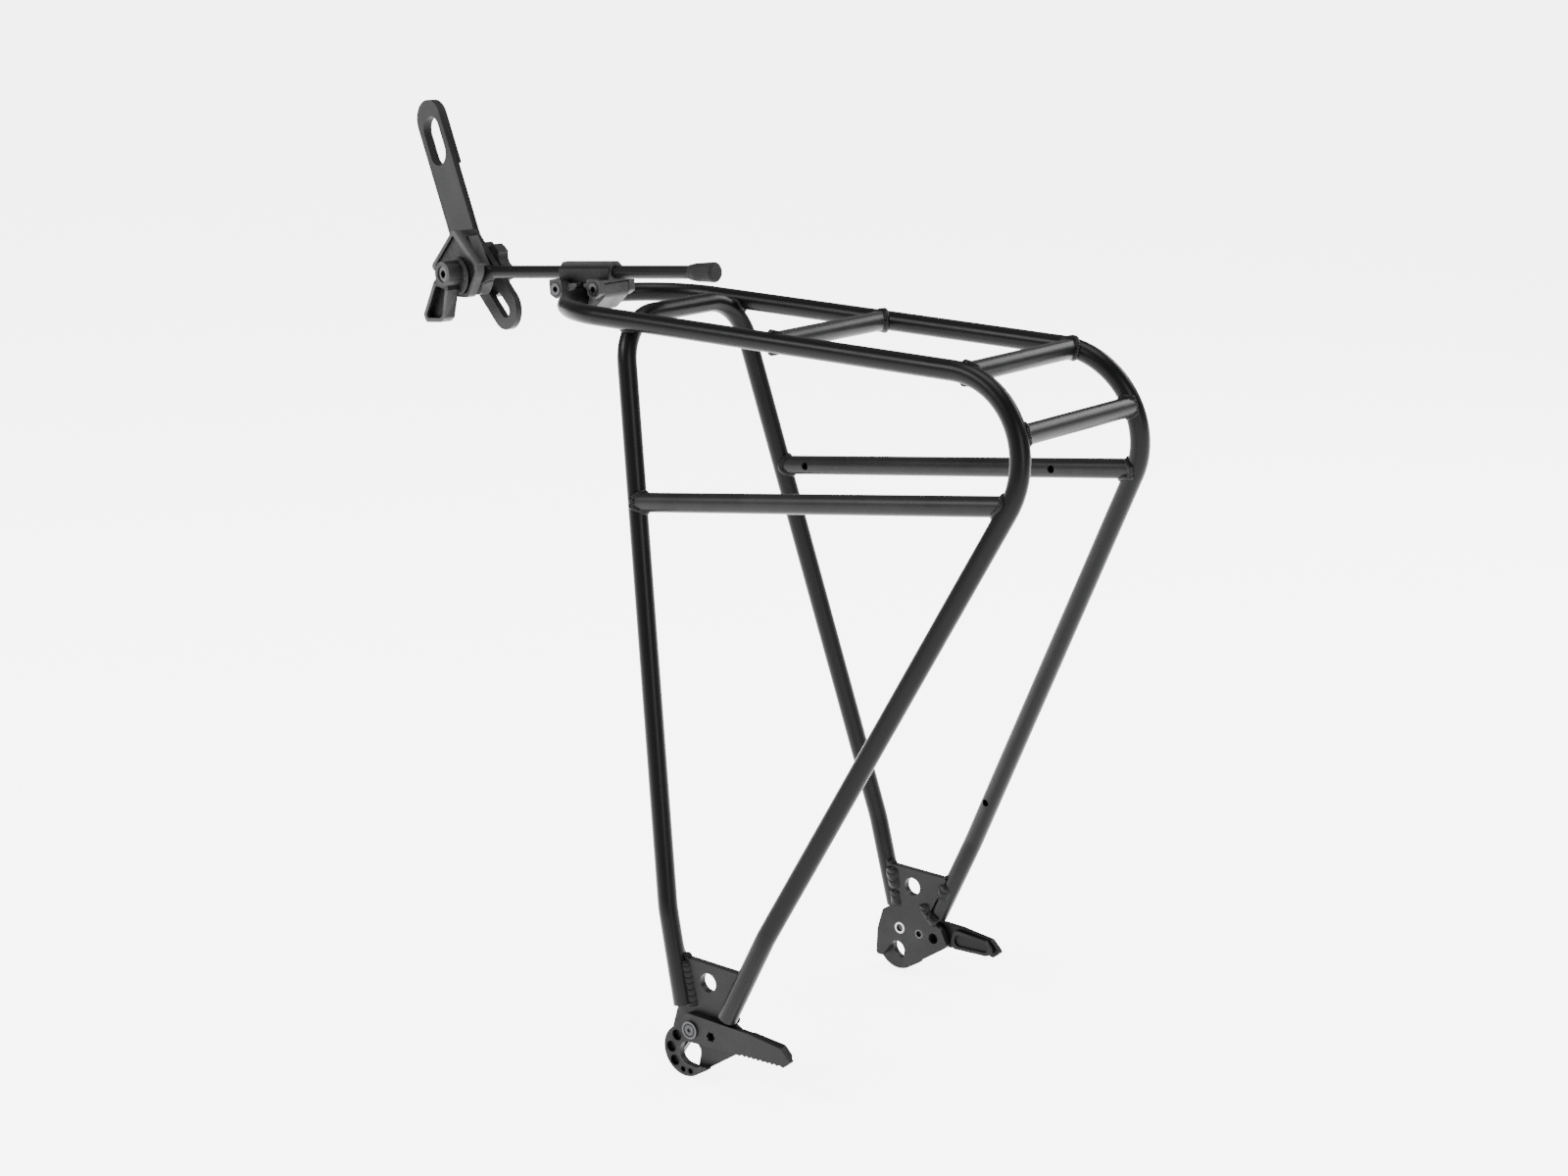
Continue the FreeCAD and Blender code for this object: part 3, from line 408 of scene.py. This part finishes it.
def weld_frame():
    side_axis = Vector((0, 1, 0))
    seed = 0
    for part in ("cross_tube_front", "cross_tube_middle", "cross_tube_tail"):
        for side, label in ((-1, "left"), (1, "right")):
            seed += 1
            end = end_of(part, 1, side)
            weld(f"weld_{part}_{label}", part, "loop_tube", end, 11 * MM, 1.5 * MM, side_axis, seed)
    for side, label in ((-1, "left"), (1, "right")):
        rail = f"lower_rail_{label}"
        low, high = Vector(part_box(rail)[0]), Vector(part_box(rail)[1])
        along = Vector((1, 0, 0.144))
        front = Vector((low.x, middle_of(rail).y, low.z + 5 * MM))
        back = Vector((high.x, middle_of(rail).y, high.z - 5 * MM))
        seed += 2
        weld(f"weld_{rail}_front", rail, "leg_arch_tube", front, 16 * MM, 1.5 * MM, along, seed)
        weld(f"weld_{rail}_rear", rail, "loop_tube", back, 18 * MM, 1.5 * MM, along, seed + 1)
        arch = end_of("leg_arch_tube", 2, 1)
        rail_y = middle_of("loop_tube").y + side * 43.5 * MM
        corner = Vector((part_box("leg_arch_tube")[0][0] + 6 * MM, rail_y, arch.z - 8 * MM))
        lean = Vector((0, side * 0.45, 0.9))
        seed += 2
        weld(f"weld_arch_{label}", "leg_arch_tube", "loop_tube", corner, 24 * MM, 1.7 * MM, lean, seed)
        weld_plate(label, side)


def end_taper(number, total, width):
    """Zero at either end of a bead, rising round to one over a part of its width."""
    from_end = min(number, total - number) * FLAT_BEAD_STEP / (0.3 * width)
    return math.sqrt(max(0.0, 1.0 - max(0.0, 1.0 - from_end) ** 2))


def flat_bead(name, line, across, out, width, height, pitch, seed):
    """Flat weld bead of overlapping crescents along a line, its edges sunk into the metal."""
    path = even(line, FLAT_BEAD_STEP, False)
    mesh = bmesh.new()
    rows = []
    total = len(path) - 1
    for number, point in enumerate(path):
        ahead = (path[min(total, number + 1)] - path[max(0, number - 1)]).normalized()
        side = (across - ahead * across.dot(ahead)).normalized()
        along = number * FLAT_BEAD_STEP
        slow = 0.10 * math.sin(along / (2.9 * MM) + seed)
        quick = 0.05 * math.sin(along / (1.3 * MM) + 3 * seed)
        sway = 1.0 + slow + quick
        tip = end_taper(number, total, width)
        drift = 0.3 * pitch * math.sin(seed + along / pitch / 3)
        row = []
        for step in range(FLAT_BEAD_COLUMNS + 1):
            share = 2.0 * step / FLAT_BEAD_COLUMNS - 1.0
            phase = ((along + 0.9 * pitch * share * share + drift) / pitch) % 1.0
            scale = 0.70 + 0.30 * math.sqrt(1.0 - phase * phase)
            crown = height * (1.0 - share * share) ** 0.6 * scale * (0.25 + 0.75 * tip)
            spread = 0.5 * width * sway * (0.35 + 0.65 * tip) * share
            row.append(mesh.verts.new(point + side * spread + out * (crown - FLAT_BEAD_SINK)))
        rows.append(row)
    for first, second in zip(rows, rows[1:]):
        for step in range(FLAT_BEAD_COLUMNS):
            mesh.faces.new((first[step], first[step + 1], second[step + 1], second[step]))
    near_edge = [row[0] for row in rows[1:]]
    far_edge = [row[-1] for row in rows[-2:0:-1]]
    mesh.faces.new(rows[0][::-1] + near_edge + rows[-1][1:] + far_edge)
    add_bead(name, mesh)


PLATE_OUTER = 90.3
PLATE_INNER = 86.5
PLATE_TOP = 49.2


def weld_plate(label, side):
    """Beads that hold a dropout plate to its leg and its stay, outside, inside and on top."""
    inward = Vector((0, -side, 0))

    def at(x, y, z):
        return Vector((x, side * y, z)) * MM

    def bead(tag, line, across, face, width, height, pitch, seed):
        name = f"weld_plate_{label}_{tag}"
        flat_bead(name, line, across, face, width * MM, height * MM, pitch * MM, seed + side)

    def leaning(x, y):
        return Vector((x, side * y, 0.0)).normalized()

    leg_low, leg_high = at(0.6, PLATE_OUTER + 0.9, 24.4), at(-5.4, PLATE_OUTER + 0.6, 47.6)
    leg_line = [leg_high, leg_high.lerp(leg_low, 0.5), leg_low]
    bead("leg", leg_line, leaning(-0.86, 0.51), leaning(0.51, 0.86), 7.2, 1.5, 3.2, 1)
    stay_line = [at(27.6, PLATE_OUTER + 0.4, 44.5), at(20.5, PLATE_OUTER + 0.5, 27.5)]
    bead("stay", stay_line, leaning(0.86, 0.51), leaning(-0.51, 0.86), 5.0, 1.2, 2.6, 3)
    level = Vector((1, 0, 0.28)).normalized()
    slant = Vector((0.6, 0, 0.8))
    for tag, places, across, width, height, pitch, seed in (
        ("leg_inner_top", ((-5.6, 47.6), (-4.3, 41.0), (-2.6, 35.0)), level, 8.2, 2.1, 4.6, 5),
        ("leg_inner_low", ((-3.0, 34.4), (-1.3, 24.6)), level, 8.0, 1.8, 4.4, 8),
        ("stay_inner", ((31.0, 45.0), (27.0, 36.0)), level, 7.0, 1.6, 4.2, 11),
        ("stay_inner_low", ((16.4, 31.0), (18.6, 26.0), (25.6, 20.8)), slant, 7.4, 2.3, 4.4, 14),
    ):
        line = [at(x, PLATE_INNER, z) for x, z in places]
        bead(tag, line, across, inward, width, height, pitch, seed)
    for tag, x, toward in (("top_leg", -6.0, 1.0), ("top_stay", 30.6, -1.0)):
        line = [at(x, PLATE_INNER - 0.4, PLATE_TOP), at(x, PLATE_OUTER + 0.6, PLATE_TOP)]
        across = Vector((toward, 0, -0.7)).normalized()
        face = Vector((0.7 * toward, 0, 1.0)).normalized()
        bead(tag, line, across, face, 5.0, 1.7, 1.4, 17)


# ---- studio ----------------------------------------------------------------------------------------

FLOOR_RADIUS = 60.0
FLOOR_GLOW = 5.0
SKY_STRENGTH = 0.55


def area_light(name, place, target, width, height, power):
    data = bpy.data.lights.new(name, "AREA")
    data.shape = "RECTANGLE"
    data.size = width
    data.size_y = height
    data.energy = power
    lamp = bpy.data.objects.new(name, data)
    bpy.context.collection.objects.link(lamp)
    lamp.location = place
    lamp.rotation_euler = (Vector(target) - Vector(place)).to_track_quat("-Z", "Y").to_euler()


def make_studio():
    low = Vector(cad_box[0])
    mesh = bmesh.new()
    bmesh.ops.create_circle(mesh, cap_ends=True, segments=128, radius=FLOOR_RADIUS)
    data = bpy.data.meshes.new("floor")
    mesh.to_mesh(data)
    mesh.free()
    floor = bpy.data.objects.new("floor", data)
    floor.location = (0, 0, low.z - 0.5 * MM)
    bpy.context.collection.objects.link(floor)
    nodes = Nodes("floor")
    nodes.set(
        Base_Color=(0.90, 0.90, 0.90, 1.0), Roughness=0.9, Specular_IOR_Level=0.1,
        Emission_Color=(1.0, 1.0, 1.0, 1.0), Emission_Strength=FLOOR_GLOW,
    )
    floor.data.materials.append(nodes.material)
    world = bpy.data.worlds.new("studio")
    world.use_nodes = True
    world.node_tree.nodes["Background"].inputs["Color"].default_value = (1.0, 1.0, 1.0, 1.0)
    world.node_tree.nodes["Background"].inputs["Strength"].default_value = SKY_STRENGTH
    bpy.context.scene.world = world
    centre = (0.0, 0.0, 0.22)
    area_light("key", (-0.9, -1.5, 1.5), centre, 1.0, 0.6, 60.0)
    area_light("fill", (1.6, -0.7, 0.9), centre, 0.6, 1.0, 26.0)
    area_light("rim", (0.5, 1.6, 1.3), centre, 1.4, 0.5, 30.0)
    area_light("top", (0.0, 0.0, 2.0), centre, 1.0, 1.0, 34.0)


make_camera()
MATERIALS = make_materials()
dress_nodes(MATERIALS)
weld_frame()
make_studio()
